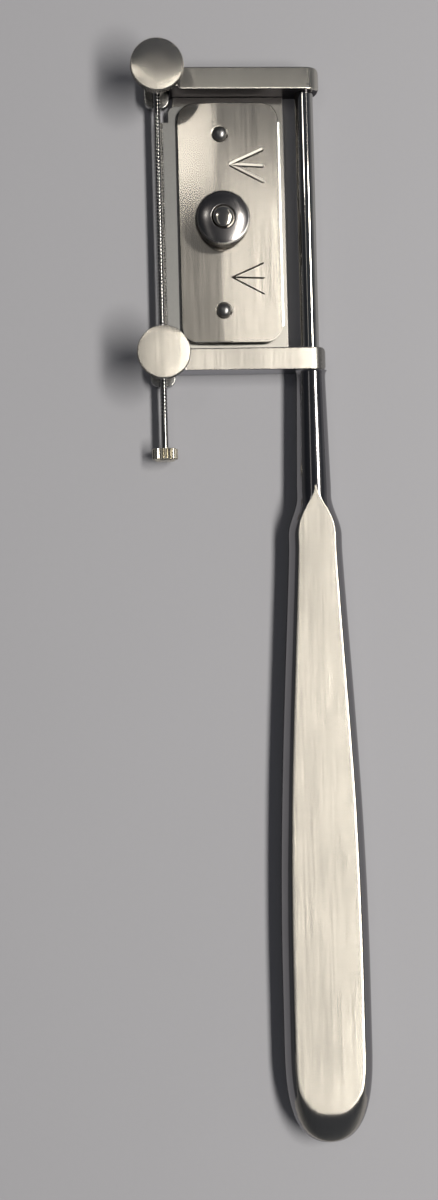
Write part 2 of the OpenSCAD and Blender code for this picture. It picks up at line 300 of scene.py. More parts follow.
def place(thing, body, slot, *nodes, materials, smooth=32, choose=None):
    """Puts a finished piece into the part's frame, in place of its CAD nodes."""
    thing.data.transform(Matrix.Translation(ORIGIN) @ Matrix.Scale(MM, 4))
    thing.data.shade_smooth()
    thing.data.set_sharp_from_angle(angle=math.radians(smooth))
    for material in materials:
        thing.data.materials.append(material)
    if choose:
        for face in thing.data.polygons:
            face.material_index = choose((face.center - ORIGIN) / MM, face.normal)
    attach(thing, body)
    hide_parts(*nodes)
    return thing


# Materials

NOISE_ROUGHNESS = 0.55


class Finish:
    """A material's node tree, with short calls for what the finishes share."""

    def __init__(self, name):
        self.material = bpy.data.materials.new(name)
        self.material.use_nodes = True
        self.nodes = self.material.node_tree.nodes
        self.shader = self.nodes["Principled BSDF"]
        self.place = self.add("ShaderNodeTexCoord").outputs["Object"]

    def add(self, kind, **settings):
        node = self.nodes.new(kind)
        for key, value in settings.items():
            setattr(node, key, value)
        return node

    def link(self, output, target):
        self.material.node_tree.links.new(output, target)

    def feed(self, target, value):
        """Sets a socket to a number or colour, or links it to an output."""
        if isinstance(value, bpy.types.NodeSocket):
            self.link(value, target)
        else:
            target.default_value = value

    def put(self, key, value):
        """Feeds a socket of the shader."""
        self.feed(self.shader.inputs[key], value)

    def noise(self, size, detail=3):
        """Noise whose features have this size in millimetres along x, y and z."""
        scale = self.add("ShaderNodeMapping")
        scale.inputs["Scale"].default_value = [1 / (MM * s) for s in size]
        self.link(self.place, scale.inputs["Vector"])
        node = self.add("ShaderNodeTexNoise")
        for key, number in (("Scale", 1), ("Detail", detail), ("Roughness", NOISE_ROUGHNESS)):
            node.inputs[key].default_value = number
        self.link(scale.outputs["Vector"], node.inputs["Vector"])
        return node.outputs["Fac"]

    def math(self, operation, a, b=0.0):
        node = self.add("ShaderNodeMath", operation=operation)
        self.feed(node.inputs[0], a)
        self.feed(node.inputs[1], b)
        return node.outputs[0]

    def weigh(self, a, b, share):
        """This share of a, and the rest of b."""
        return self.math("ADD", self.math("MULTIPLY", a, share), self.math("MULTIPLY", b, 1 - share))

    def range(self, value, low, high, start=0.3, end=0.7):
        """Spreads a value from start to end, such as the middle of a noise, over low to high."""
        node = self.add("ShaderNodeMapRange", clamp=True)
        self.link(value, node.inputs["Value"])
        for key, number in (("From Min", start), ("From Max", end), ("To Min", low), ("To Max", high)):
            node.inputs[key].default_value = number
        return node.outputs["Result"]

    def blend(self, share, a, b):
        node = self.add("ShaderNodeMix", data_type="RGBA")
        self.feed(node.inputs["Factor"], share)
        self.feed(node.inputs["A"], a)
        self.feed(node.inputs["B"], b)
        return node.outputs["Result"]

    def bump(self, height, distance):
        """distance is the height of the relief in millimetres."""
        node = self.add("ShaderNodeBump")
        node.inputs["Strength"].default_value = 1
        node.inputs["Distance"].default_value = distance * MM
        self.link(height, node.inputs["Height"])
        self.put("Normal", node.outputs["Normal"])

    def spread_across(self):
        """Spreads reflections along the piece's x, across brush marks that run along its y."""
        axis = self.add("ShaderNodeCombineXYZ")
        axis.inputs["X"].default_value = 1
        turn = self.add("ShaderNodeVectorTransform", vector_type="VECTOR",
                        convert_from="OBJECT", convert_to="WORLD")
        self.link(axis.outputs["Vector"], turn.inputs["Vector"])
        self.put("Tangent", turn.outputs["Vector"])


def shade(colour, factor):
    return [c * factor for c in colour] + [1]


STEEL = (0.69, 0.65, 0.585)
# Ground steel. Name: tint, roughness, how dark its brush marks are, and their height
BRUSHED = {
    "handle_flat": ((0.575, 0.545, 0.49), 0.2, 0.12, 0.001),
    "near_arm_flat": ((0.76, 0.72, 0.65), 0.2, 0.14, 0.0012),
    "far_arm_flat": ((0.76, 0.73, 0.66), 0.25, 0.14, 0.0012),
    "far_arm_round": ((0.76, 0.73, 0.66), 0.2, 0.3, 0.003),
    "bed_ground": ((0.42, 0.405, 0.375), 0.3, 0.08, 0.001),
    "plate_brushed": (STEEL, 0.2, 0.2, 0.002),
    "disc_face": ((0.79, 0.745, 0.665), 0.215, 0.1, 0.0008),
}
# Polished steel. Name: tint, roughness, and how bright it is at a grazing angle
POLISHED = {
    # The handle's sides are polished; their dark tint, half the flat's, is painted shade
    "handle_side_painted_shade": ((0.28, 0.275, 0.285), 0.1, 1),
    "rod_polished": ((0.5, 0.49, 0.47), 0.045, 1),
    # The arms' walls and the near arm's round end are tinted darker than the flats, the far wall most:
    # painted shade
    "near_arm_shaded_wall": ((0.4, 0.4, 0.43), 0.22, 1),
    "near_arm_round": ((0.36, 0.35, 0.33), 0.24, 1),
    "far_arm_shaded_wall": ((0.14, 0.135, 0.145), 0.28, 0.4),
    "stud_polished": (STEEL, 0.12, 1),
    "pin_dark": ((0.2772, 0.2772, 0.2772), 0.34, 1),
    # Dark tint on the plate's edge and bevel: painted shade of the gap between the plate and the blade
    "plate_edge_painted_shade": ((0.16, 0.155, 0.15), 0.2, 1),
    # The arrows' lines: a pale copy for banks that face south is painted highlight, a dark copy for banks
    # that face north is painted shade
    "arrow_painted_highlight": ((0.95, 0.92, 0.86), 0.7, 1),
    "arrow_painted_shade": ((0.11, 0.1, 0.09), 0.35, 1),
    "nut_polished": ((0.28, 0.27, 0.27), 0.22, 1),
    "nut_rim": ((0.26, 0.25, 0.245), 0.24, 0.4),
    "block_turned": ((0.4, 0.395, 0.385), 0.22, 1),
    # Dark tint of the disc screws' knurled sides and shanks, about a third of their face's: painted shade
    "knurl_shaded_steel": ((0.27, 0.26, 0.25), 0.24, 0.5),
    # Near-black tint on faces in the gaps between teeth: painted shade
    "knurl_gap_painted_shade": ((0.03, 0.03, 0.03), 0.35, 0.1),
    "roller_polished": ((0.34, 0.335, 0.33), 0.06, 1),
    "knob_satin": ((0.66, 0.62, 0.52), 0.22, 1),
}

# Sizes of the marks and smudges along x, y and z, and how much they change the roughness
FINE_MARK, WIDE_MARK, FINE_SHARE = (0.22, 9, 40), (0.42, 24, 40), 0.55
MARK_ROUGHNESS = 0.02
SMUDGE, SMUDGE_TINT = (9, 16, 9), 0.95
CLEAN_ROUGHNESS, SMUDGE_ROUGHNESS = -0.01, 0.012


def brushed(name):
    """Steel ground along y: fine marks of two widths, and soft handling smudges."""
    tint, roughness, darkness, height = BRUSHED[name]
    finish = Finish(name)
    marks = finish.weigh(finish.noise(FINE_MARK, detail=2), finish.noise(WIDE_MARK, detail=1), FINE_SHARE)
    smudge = finish.noise(SMUDGE, detail=4)
    worn = finish.blend(finish.range(smudge, 0, 1), shade(tint, SMUDGE_TINT), shade(tint, 1))
    finish.put("Base Color", finish.blend(finish.range(marks, 0, 1), shade(tint, 1 - darkness), worn))
    marked = finish.range(marks, -MARK_ROUGHNESS, MARK_ROUGHNESS)
    smudged = finish.range(smudge, roughness + CLEAN_ROUGHNESS, roughness + SMUDGE_ROUGHNESS)
    finish.put("Roughness", finish.math("ADD", marked, smudged))
    finish.put("Metallic", 1)
    finish.put("Anisotropic", 1)
    finish.spread_across()
    finish.bump(marks, height)
    return finish.material


HAZE, HAZE_TINT = (4, 7, 4), 0.93
HAIRLINE, HAIRLINE_HEIGHT = (0.25, 2.5, 0.25), 0.0006


def polished(name, wear=0.03):
    """Polished steel with hairline scratches and a slight haze."""
    tint, roughness, edge = POLISHED[name]
    finish = Finish(name)
    haze = finish.noise(HAZE, detail=4)
    hairlines = finish.noise(HAIRLINE)
    finish.put("Base Color", finish.blend(finish.range(haze, 0, 1), shade(tint, HAZE_TINT), shade(tint, 1)))
    hazed = finish.range(haze, roughness, roughness + wear)
    scratched = finish.range(hairlines, 0, wear / 2)
    finish.put("Roughness", finish.math("ADD", hazed, scratched))
    finish.put("Specular Tint", shade((1, 1, 1), edge))
    finish.put("Metallic", 1)
    finish.bump(hairlines, HAIRLINE_HEIGHT)
    return finish.material


# Finishes that several pieces share
BLOCK_STEEL = polished("block_turned")
DISC_FACE = brushed("disc_face")
KNURL_SHADED_STEEL = polished("knurl_shaded_steel")
# Faces deep in the gaps between teeth are painted near black as shade
KNURL_GAP_SHADE = polished("knurl_gap_painted_shade")


# Handle and neck

HALF_HEIGHT = size_of("handle", Z) / 2
NECK_RADII = (2.6, HALF_HEIGHT)
NECK_TOP = HANDLE_HIGH.y
NECK_LENGTH = 21
# The flat runs out into a point at the apex, and widens quickly from there to the shoulder
APEX_Y = NECK_TOP - NECK_LENGTH
SHOULDER_Y = APEX_Y - 11
BUTT_Y = HANDLE_LOW.y
BELLY_Y = BUTT_Y + 29
SHOULDER_HALF = 4.9
BELLY_HALF = size_of("handle", X) / 2
SHOULDER_OVAL, BELLY_OVAL, OVAL_RUN = 1.36, 1.58, 45
TIP_DELAY, TIP_LENGTH, TIP_POWER = 0.3, 6.6, 1.4
SHOULDER_DELAY, SHOULDER_LENGTH = 1.6, 7.2
SWELL_POWER = 1.12
# Round end, and how the flat rolls down into it
END_Y, END_POWER = BUTT_Y + 17, 2.6
CROWN_Y, CROWN_CURVE, CROWN_FALL = BUTT_Y + 6.2, 0.023, 0.04
# Rounding of the flat's edge: narrow on the neck, wider on the handle
NECK_ROLL, HANDLE_ROLL = 0.03, 0.14
ROLL_START_Y, ROLL_RUN = SHOULDER_Y + 6, 14
WIDEST_BORDER = math.radians(88.5)
# Braze at the joint with the rod
FILLET_HEIGHT, FILLET_DECAY, FILLET_END_Y = 0.35, 3.2, NECK_TOP - 1.5
SOCKET_DEPTH = 6
# A face belongs to the ground flat down to this depth below it, where its normal's z is high enough
TIP_GROUND, HANDLE_GROUND, GROUND_DELAY, GROUND_RUN = 0.012, 0.2, 2, 4
STEEPEST, STEEPEST_AT_END = 0.86, 0.6


def neck_radius(y):
    fillet = FILLET_HEIGHT * math.exp((y - NECK_TOP) * FILLET_DECAY)
    return mix(*NECK_RADII, clamp01((NECK_TOP - y) / NECK_LENGTH)) + fillet


def end_share(y):
    """How much of the handle's full width and height is left where its round end closes."""
    run = clamp01((END_Y - y) / (END_Y - BUTT_Y))
    return (1 - run ** END_POWER) ** (1 / END_POWER)


def half_width(y):
    if y > SHOULDER_Y:
        return mix(neck_radius(y), SHOULDER_HALF, ease((APEX_Y - SHOULDER_DELAY - y) / SHOULDER_LENGTH))
    if y > END_Y:
        run = clamp01((SHOULDER_Y - y) / (SHOULDER_Y - BELLY_Y))
        return mix(SHOULDER_HALF, BELLY_HALF, math.sin(math.pi / 2 * run) ** SWELL_POWER)
    return BELLY_HALF * end_share(y)


def oval_height(y):
    """Half height of the round bar that the flats are ground on."""
    if y > APEX_Y:
        return neck_radius(y)
    ratio = mix(SHOULDER_OVAL, BELLY_OVAL, clamp01((SHOULDER_Y - y) / OVAL_RUN))
    ratio = mix(1, ratio, ease((APEX_Y - TIP_DELAY - y) / TIP_LENGTH) ** TIP_POWER)
    return HALF_HEIGHT * ratio * end_share(y)


def flat_height(x, y):
    """Height of the ground flat over the axis: it rolls down towards the butt, sooner at its sides."""
    return HALF_HEIGHT - CROWN_FALL * max(0, CROWN_Y + CROWN_CURVE * abs(x) ** 3 - y) ** 2


def handle_section(y):
    """Ring of points: the arcs of the oval crowd towards the flat, and the flat's edge is rolled."""
    arc_steps, flat_steps = 22, 22
    half, oval_top = half_width(y), oval_height(y)
    border = min(WIDEST_BORDER, math.asin(min(1, HALF_HEIGHT / oval_top)))
    roll = mix(NECK_ROLL, HANDLE_ROLL, ease((ROLL_START_Y - y) / ROLL_RUN))
    spots = [half * math.cos(border * math.sin(angle)) for angle in quarter(arc_steps)[:-1]]
    spots += [half * math.cos(border) * math.cos(math.pi * i / flat_steps) for i in range(flat_steps + 1)]
    spots += [-x for x in reversed(spots[:arc_steps])]
    top = []
    for x in spots:
        oval = oval_top * math.sqrt(max(0, 1 - (x / half) ** 2))
        top.append((x, y, AXIS_Z + soft_min(oval, flat_height(x, y), roll)))
    low = [(x, y, 2 * AXIS_Z - z) for x, y, z in reversed(top[1:-1])]
    return top + low


def build_handle():
    places = steps(NECK_TOP, FILLET_END_Y, 12)
    places += steps(FILLET_END_Y - 0.5, APEX_Y + 1, 22)
    places += steps(APEX_Y + 0.6, SHOULDER_Y, 44)
    places += steps(SHOULDER_Y, END_Y, 64)[1:]
    places += [END_Y - (END_Y - BUTT_Y) * math.sin(angle) for angle in quarter(50)[1:-1]]
    bm = bmesh.new()
    skin(bm, [handle_section(y) for y in places] + [[(0, BUTT_Y, AXIS_Z)]])
    thing = piece_from(bm, "knife_handle")
    cut(thing, peg(ROD_RADIUS, (0, AXIS_Z), NECK_TOP - SOCKET_DEPTH, NECK_TOP + MARGIN, along=Y))

    def which(centre, normal):
        depth = mix(TIP_GROUND, HANDLE_GROUND, ease((APEX_Y - GROUND_DELAY - centre.y) / GROUND_RUN))
        on_flat = abs(centre.z - AXIS_Z) > flat_height(centre.x, centre.y) - depth
        steepest = STEEPEST if centre.y > END_Y else STEEPEST_AT_END
        return 0 if on_flat and centre.y < APEX_Y and abs(normal.z) > steepest else 1

    # The flat gets the ground finish, the sides a dark polished one as painted shade
    place(thing, "frame", "handle_steel", "handle", smooth=60, choose=which,
          materials=[brushed("handle_flat"), polished("handle_side_painted_shade")])


# Frame

ROD_CHAMFER, ROD_TIP = 0.1, 0.35


def build_rod():
    length = ROD_HIGH.y - ROD_LOW.y
    outline = [(0, 0), (ROD_RADIUS - ROD_CHAMFER, 0), (ROD_RADIUS, ROD_CHAMFER)]
    outline += [(ROD_RADIUS, z) for z in steps(1, length - ROD_TIP, 16)]
    outline += [(ROD_RADIUS - ROD_TIP, length), (0, length)]
    thing = turned("joining_rod", [(outline, 96, None, False)], (0, ROD_LOW.y, AXIS_Z), along=Y)
    place(thing, "frame", "rod_steel", "frame_rod", materials=[polished("rod_polished", wear=0.015)])


SCREW_RADIUS = 1
# The arm is thick at the rod, cranked under the disc head, and thin at the screw's eye
CRANK_START_X = ROLLER_X + 4.2
CRANK_END_X = ROLLER_X + 3.7
ARM_STEP_X = ROLLER_X + 2.5
EYE_START_X = ROLLER_X + 2
EYE_RADIUS = (ARM_HIGH.y + ARM_WIDTH / 2) / 2
ARM_END_BOTTOM = CAP_HIGH.z + 0.83
ARM_END_TOP = ARM_HIGH.z
ARM_CORNER = 0.9
# Round edges, with a narrow strip of each face beside them
EDGE_ROUND, EDGE_STRIP = 0.2, 0.05
THINNEST_HALF, SMALLEST_CORNER, CORNER_SHARE = 0.02, 0.01, 0.9
# Upward faces beyond this x are the round end's, and faces whose normal's z is above LEVEL are flats
ROUND_END_X, LEVEL = 0.2, 0.8


def arm_heights(x):
    """Lowest and highest point of the arm at x, right of its step."""
    thick_low, thick_high = ARM_LOW.z, 2 * AXIS_Z - ARM_LOW.z
    if x > 0:
        reach = math.sqrt(max(0, ((thick_high - thick_low) / 2) ** 2 - x * x))
        return AXIS_Z - reach, AXIS_Z + reach
    climb = clamp01((CRANK_START_X - x) / (CRANK_START_X - CRANK_END_X))
    return thick_low, mix(thick_high, ARM_END_TOP, ease(climb))


def arm_sides(x):
    """Edges of the arm along y: a bar with a rounded end at the rod and an eye at the screw."""
    half, right = ARM_WIDTH / 2, ARM_HIGH.x
    eye = math.sqrt(max(0, EYE_RADIUS ** 2 - (ROLLER_X - x) ** 2))
    if x < ROLLER_X:
        return SCREW_OFFSET - eye, SCREW_OFFSET + eye
    if x > right - ARM_CORNER:
        half += math.sqrt(max(0, ARM_CORNER ** 2 - (x - right + ARM_CORNER) ** 2)) - ARM_CORNER
    return -half, max(half, SCREW_OFFSET + eye) if eye else half


def arm_section(x, low, high, y0):
    """Rounded rectangle across the arm. Each corner is an arc of five points with a strip beside it."""
    south, north = arm_sides(x)
    middle_y = y0 + (south + north) / 2
    half = max(THINNEST_HALF, (north - south) / 2)
    corner = min(EDGE_ROUND, half * CORNER_SHARE, max(SMALLEST_CORNER, (high - low) / 2 * CORNER_SHARE))
    back = min(EDGE_STRIP, (half - corner) / 2)
    ring = []
    for sy, sz, start in ((1, 1, 0), (-1, 1, 1), (-1, -1, 2), (1, -1, 3)):
        cy, cz = middle_y + sy * (half - corner), (high if sz > 0 else low) - sz * corner
        for i, inset in ((0, back), (0, 0), (1, 0), (2, 0), (3, 0), (4, 0), (4, back)):
            angle = math.pi / 2 * (start + i / 4)
            move_y, move_z = (0, -sz * inset) if (i == 0) == (sy * sz > 0) else (-sy * inset, 0)
            ring.append((x, cy + corner * math.cos(angle) + move_y, cz + corner * math.sin(angle) + move_z))
    return ring


def build_arm(name, node, y0, round_finish):
    places = [ARM_HIGH.x * math.sin(angle) for angle in reversed(quarter(20)[1:])]
    places += steps(0, CRANK_START_X, 10) + steps(CRANK_START_X, CRANK_END_X, 8)[1:]
    places += steps(CRANK_END_X, ARM_STEP_X, 4)[1:]
    rings = [arm_section(x, *arm_heights(x), y0) for x in places]
    thin = [ARM_STEP_X] + steps(EYE_START_X, ROLLER_X, 8)
    thin += [ROLLER_X - EYE_RADIUS * math.sin(angle) for angle in quarter(12)[1:]]
    rings += [arm_section(x, ARM_END_BOTTOM, ARM_END_TOP, y0) for x in thin]
    bm = bmesh.new()
    skin(bm, rings)
    thing = piece_from(bm, name)
    screw_at = (ROLLER_X, y0 + SCREW_OFFSET)
    cut(thing,
        peg(ROD_RADIUS, (0, AXIS_Z), y0 - ARM_WIDTH, y0 + ARM_WIDTH, along=Y),
        peg(SCREW_RADIUS + CLEARANCE, screw_at, ARM_END_BOTTOM - MARGIN, ARM_END_TOP + MARGIN))

    def which(centre, normal):
        if centre.x > ROUND_END_X and normal.z > 0:
            return 2
        return 0 if abs(normal.z) > LEVEL else 1

    # The walls and the near arm's round end get a darker steel than the flats, as painted shade
    place(thing, "frame", "arm_steel", node, smooth=35, choose=which,
          materials=[brushed(f"{name}_flat"), polished(f"{name}_shaded_wall"), round_finish(f"{name}_round")])


BED_ROUND = 0.12


def build_bed():
    (west, south), (east, north) = BED_LOW.xy, BED_HIGH.xy
    outline = [(west, south), (east, south), (east, north), (west, north)]
    thing = prism("blade_bed", outline, BED_LOW.z, BED_HIGH.z)
    round_edges(thing, BED_ROUND)
    low, high = BED_LOW.z - MARGIN, BED_HIGH.z + MARGIN
    cut(thing,
        peg(STUD_RADIUS, (SEAT_X, SEAT_Y), low, high),
        peg(PIN_RADIUS, (SEAT_X, SEAT_Y - PIN_REACH), low, high),
        peg(PIN_RADIUS, (SEAT_X, SEAT_Y + PIN_REACH), low, high))
    place(thing, "frame", "bed_steel", "bed_plate", smooth=15, materials=[brushed("bed_ground")])


STUD_PITCH, STUD_THREAD = 0.7, 0.22
STUD_DOME, STUD_LEAD = 0.5, 0.05


def build_stud():
    foot, seat, shoulder = BED_LOW.z, BED_HIGH.z + STUD_LEAD, STUD_HIGH.z - STUD_DOME
    outline = [(0, foot), (STUD_RADIUS, foot, 0), (STUD_RADIUS, seat, 0)]
    outline += [(STUD_RADIUS, z, 1) for z in steps(seat + STUD_LEAD, shoulder - 0.3, 56)]
    outline += [(STUD_RADIUS - 0.02, shoulder, 0)]
    outline += dome(STUD_RADIUS, shoulder, STUD_DOME, 9, 0)
    outline.append((0, STUD_HIGH.z))
    shell = (outline, 64, thread(STUD_PITCH, STUD_THREAD), False)
    thing = turned("threaded_stud", [shell], (SEAT_X, SEAT_Y, 0))
    place(thing, "frame", "nut_steel", "clamp_stud", materials=[polished("stud_polished")])


PIN_DOME = 0.9


def build_pins():
    shoulder = PIN_HIGH.z - PIN_DOME
    outline = [(0, PIN_LOW.z), (PIN_RADIUS, PIN_LOW.z), (PIN_RADIUS, shoulder)]
    outline += dome(PIN_RADIUS, shoulder, PIN_DOME, 12)
    outline.append((0, PIN_HIGH.z))
    bm = bmesh.new()
    for middle_y in (SEAT_Y - PIN_REACH, SEAT_Y + PIN_REACH):
        skin(bm, [[(SEAT_X + x, middle_y + y, z) for x, y, z in ring] for ring in turn_rings(outline, 48)])
    thing = piece_from(bm, "blade_pins")
    place(thing, "frame", "pin_steel", "locating_pins", materials=[polished("pin_dark")])


# Clamp

PLATE_CORNER, PLATE_SHEET, PLATE_ROUND = 3, 0.65, 0.14
SPINE_X = SEAT_X - 0.2
SPINE_SOFTNESS = 0.7
LEFT_FALL, RIGHT_FALL = 0.9, 0.2
STUD_GAP = 0.2
HOLE_RADIUS = PIN_RADIUS + 0.06
SINK_RADIUS, SINK_DEPTH, SINK_OVERLAP = PIN_RADIUS + 0.28, 0.12, 0.05
# Apex: width of the two banks of its lines, north and south, and the lines' far ends
ARROWS = {
    (-13.75, 35.75): (0.36, 0.34, ((-7.6, 38.55), (-7.65, 35.45), (-7.55, 32.55))),
    (-13.8, 15.35): (0.08, 0.22, ((-8.05, 17.9), (-7.95, 15.15), (-8, 12.25))),
}
ARROW_LEFT = min(apex[X] for apex in ARROWS) - 0.4
ARROW_DEPTH = 0.11
# How a line begins and ends: places along it from its apex or far end, and shares of its full size
LINE_START, LINE_END = ((-0.2, 0.1), (0.2, 1)), ((-0.15, 1), (0.1, 0.3))
# Least z of a normal on the plate's top and on a line's banks, and least y of a bank's normal
TOP_FACE, BANK_FACE, BANK_TILT = 0.9, 0.5, 0.04


def plate_fall(x):
    """How far the pressed plate lies below its crown: it slopes away from a soft spine."""
    run = x - SPINE_X
    reach = (SPINE_X - PLATE_LOW.x) if run < 0 else (PLATE_HIGH.x - SPINE_X)
    fall = LEFT_FALL if run < 0 else RIGHT_FALL
    soft = math.sqrt(run * run + SPINE_SOFTNESS ** 2) - SPINE_SOFTNESS
    return fall * soft / (math.sqrt(reach * reach + SPINE_SOFTNESS ** 2) - SPINE_SOFTNESS)


def groove(start, end, north_bank, south_bank):
    """Tool that engraves a line with a bank on each side.

    It stands as far out of the flat sheet as it cuts into it, so it is twice as wide as the line.
    """
    start, end = Vector(start), Vector(end)
    along = (end - start).normalized()
    north = Vector((-along.y, along.x))
    stations = [(start + along * run, share) for run, share in LINE_START]
    stations += [(end + along * run, share) for run, share in LINE_END]
    rings = []
    for at, share in stations:
        high, low = at + north * north_bank * share * 2, at - north * south_bank * share * 2
        depth = ARROW_DEPTH * share
        rise = PLATE_SHEET + depth
        rings.append([(low.x, low.y, rise), (high.x, high.y, rise), (at.x, at.y, PLATE_SHEET - depth)])
    bm = bmesh.new()
    skin(bm, rings)
    return piece_from(bm, "tool")


def bend(thing):
    """Slices the flat sheet into rows and presses it to the clamp plate's shape."""
    bm = bmesh.new()
    bm.from_mesh(thing.data)
    for normal, low, high, count in ((Vector((1, 0, 0)), PLATE_LOW.x, PLATE_HIGH.x, 36),
                                     (Vector((0, 1, 0)), PLATE_LOW.y, PLATE_HIGH.y, 20)):
        for at in steps(low, high, count)[1:-1]:
            everything = bm.verts[:] + bm.edges[:] + bm.faces[:]
            bmesh.ops.bisect_plane(bm, geom=everything, dist=1e-5, plane_co=normal * at, plane_no=normal)
    for vertex in bm.verts:
        vertex.co.z += PLATE_HIGH.z - PLATE_SHEET - plate_fall(vertex.co.x)
    bm.to_mesh(thing.data)
    bm.free()


def build_plate():
    thing = prism("clamp_leaf", rounded_outline(PLATE_LOW, PLATE_HIGH, PLATE_CORNER), 0, PLATE_SHEET)
    round_edges(thing, PLATE_ROUND)
    low, high = -MARGIN, 2 * MARGIN
    tools = [peg(STUD_RADIUS + STUD_GAP, (SEAT_X, SEAT_Y), low, high)]
    for side in (-1, 1):
        at = (SEAT_X, SEAT_Y + side * PIN_REACH)
        tools.append(peg(HOLE_RADIUS, at, low, high))
        tools.append(peg(HOLE_RADIUS - SINK_OVERLAP, at, PLATE_SHEET - SINK_DEPTH, PLATE_SHEET + SINK_DEPTH,
                         top_radius=2 * SINK_RADIUS - HOLE_RADIUS + SINK_OVERLAP))
    for apex, (north_bank, south_bank, ends) in ARROWS.items():
        tools += [groove(apex, end, north_bank, south_bank) for end in ends]
    for tool in tools:
        cut(thing, tool)
    bend(thing)

    def which(centre, normal):
        """Sheet, its edge, and the banks of the arrows' lines: banks that face south get painted highlight,
        banks that face north painted shade, and the edge painted shade.
        """
        if normal.z < TOP_FACE:
            at_line = ARROW_LEFT < centre.x < PLATE_HIGH.x - 1 and normal.z > BANK_FACE
            return 3 if at_line else 1
        if abs(normal.y) < BANK_TILT or centre.x < ARROW_LEFT:
            return 0
        return 2 if normal.y < 0 else 3

    place(thing, "clamp", "plate_steel", "clamp_plate", smooth=9, choose=which,
          materials=[brushed("plate_brushed"), polished("plate_edge_painted_shade"), polished("arrow_painted_highlight"),
                     polished("arrow_painted_shade")])


NUT_TEETH, NUT_TOOTH = 76, 0.2
NUT_EYE, NUT_RIM = 2.25, 0.42
NUT_FLANGE_INSET, NUT_FLANGE = 1.2, 0.35
# Slope of the nut's dome at r: DOME_EASE r + DOME_ROLL r cubed
DOME_EASE, DOME_ROLL = 0.032, 0.0039


def nut_fall(r):
    """How far the dome lies below its crown at this radius."""
    return DOME_EASE / 2 * (r ** 2 - NUT_EYE ** 2) + DOME_ROLL / 4 * (r ** 4 - NUT_EYE ** 4)


def build_nut():
    bore = STUD_RADIUS + CLEARANCE
    radius = (NUT_HIGH.x - NUT_LOW.x) / 2
    base, top = NUT_LOW.z, NUT_HIGH.z
    flange, foot = radius - NUT_FLANGE_INSET, radius - NUT_RIM
    rim_base, rim_top = base + NUT_FLANGE, top - nut_fall(foot) - 0.06
    outline = [(bore, base, 0), (flange, base, 0), (flange, rim_base, 0), (foot, rim_base, 0),
               (radius - 0.08, rim_base + 0.14, 1), (radius, rim_base + 0.24, 1), (radius, rim_top - 0.14, 1),
               (radius - 0.05, rim_top - 0.03, 1), (radius - 0.2, rim_top + 0.03, 0.5)]
    outline += [(r, top - nut_fall(r), 0) for r in steps(foot, NUT_EYE, 20)]
    outline += [(NUT_EYE - 0.06, top - 0.02, 0), (bore, top - 0.35, 0)]
    shell = (outline, NUT_TEETH * 6, knurl(NUT_TEETH, NUT_TOOTH), True)
    thing = turned("thumb_nut", [shell], (SEAT_X, SEAT_Y, 0))

    def which(centre, normal):
        if math.hypot(centre.x - SEAT_X, centre.y - SEAT_Y) < foot + 0.02:
            return 0
        return 2 if in_gap(centre, (SEAT_X, SEAT_Y), NUT_TEETH) else 1

    place(thing, "nut", "nut_steel", "clamp_nut", smooth=28, choose=which,
          materials=[polished("nut_polished"), polished("nut_rim"), KNURL_GAP_SHADE])


# Roller and its adjusters

SHOE_CORNER, SHOE_EDGE = 1.6, 0.18
BARREL_FOOT, BARREL_CHAMFER = 0.1, 0.06
# The screw ends in a stem and a button, which the block and its cap hold
BUTTON_RADIUS, BUTTON_HEIGHT, BUTTON_CHAMFER = 0.92, 0.4, 0.05
STEM_RADIUS = 0.58
CAP_BEVEL, CAP_BURR = 0.15, 0.04


def build_block(name, node, y0):
    """Barrel for the screw's button on a shoe with an open groove for the roller."""
    low, high = extent(node)
    radius, foot = BARREL_RADIUS, low.z + BARREL_FOOT
    outline = [(0, foot), (radius, foot), (radius, high.z - BARREL_CHAMFER),
               (radius - BARREL_CHAMFER, high.z), (0, high.z)]
    barrel = turned("tool", [(outline, 96, None, False)], (ROLLER_X, y0, 0))
    groove_end = min(high.y + MARGIN, ROLLER_HIGH.y + 0.1)
    thing = prism(name, rounded_outline(low, high, SHOE_CORNER), low.z, ROLLER_Z)
    round_edges(thing, SHOE_EDGE, segments=3)
    cut(thing, barrel, operation="UNION")
    cut(thing,
        peg(ROLLER_RADIUS + CLEARANCE, (ROLLER_X, ROLLER_Z), low.y - MARGIN, groove_end, along=Y),
        peg(BUTTON_RADIUS + CLEARANCE, (ROLLER_X, y0), high.z - 0.5, high.z + MARGIN))
    place(thing, "roller_carriage", "block_steel", node, materials=[BLOCK_STEEL])


def build_cap(name, node, y0):
    low, high = BLOCK_HIGH.z, CAP_HIGH.z
    radius, bore = BARREL_RADIUS, STEM_RADIUS + CLEARANCE
    outline = [(bore, low), (radius - CAP_BURR, low), (radius, low + CAP_BURR), (radius, high - CAP_BEVEL),
               (radius - CAP_BEVEL, high), (bore + 0.05, high), (bore, high - 0.05)]
    thing = turned(name, [(outline, 96, None, True)], (ROLLER_X, y0, 0))
    place(thing, "roller_carriage", "block_steel", node, materials=[BLOCK_STEEL])


SCREW_PITCH, SCREW_THREAD = 0.4, 0.14
DISC_TEETH, DISC_TOOTH = 72, 0.17
DISC_THICKNESS = 2
DISC_BEVEL, DISC_BEVEL_FALL = 0.21, 0.1
DISC_DOME, DISC_POWER = 0.14, 3.2


def disc_outline(radius, base, top):
    """Disc head with a knurled rim, a bevel and a slightly domed face."""
    rim, shoulder = radius - DISC_BEVEL, top - DISC_DOME - DISC_BEVEL_FALL
    outline = [(0, base), (1.2, base, 0), (rim - 0.1, base, 0), (radius - 0.12, base + 0.2, 1),
               (radius, base + 0.3, 1), (radius, shoulder - 0.04, 1), (radius - 0.04, shoulder, 0.9),
               (rim, top - DISC_DOME, 0)]
    outline += [(rim * t, top - DISC_DOME * t ** DISC_POWER, 0) for t in steps(0.985, 0.07, 15)]
    return outline + [(0, top)]


